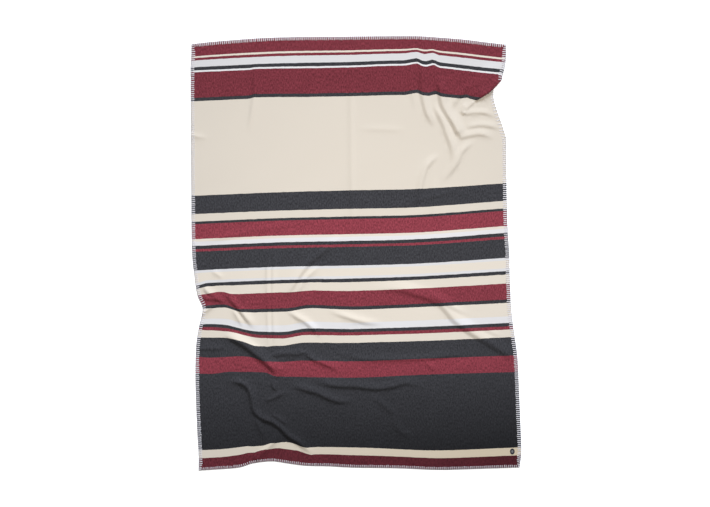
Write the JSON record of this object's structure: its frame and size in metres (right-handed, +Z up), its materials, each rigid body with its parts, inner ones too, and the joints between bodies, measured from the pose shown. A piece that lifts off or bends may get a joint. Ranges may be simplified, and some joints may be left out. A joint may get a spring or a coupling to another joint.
{
  "type": "striped wool blanket laid out flat",
  "caption": "Rectangular woven wool blanket laid out face up, with cross stripes, a blanket-stitched edge, low folds and a tucked corner.",
  "frame": {"origin": "middle of the laid blanket's footprint, on the surface it lies on", "axes": "+Z up out of the surface, +Y along the blanket towards its top hem, +X across it to the right"},
  "size_m": [1.5266, 2.0046, 0.0174],
  "materials": {
    "striped_wool": "woven and lightly felted wool, cream ground with red, charcoal and white cross stripes",
    "edging_yarn": "matt wool yarn, pale silver grey",
    "badge": "flat dark woven patch with a paler middle"
  },
  "bodies": {
    "root": {"blanket_cloth": "striped_wool", "edge_yarn_top": "edging_yarn", "edge_yarn_left": "edging_yarn", "edge_yarn_bottom": "edging_yarn", "edge_yarn_right": "edging_yarn", "corner_badge": "badge"}
  },
  "joints": []
}
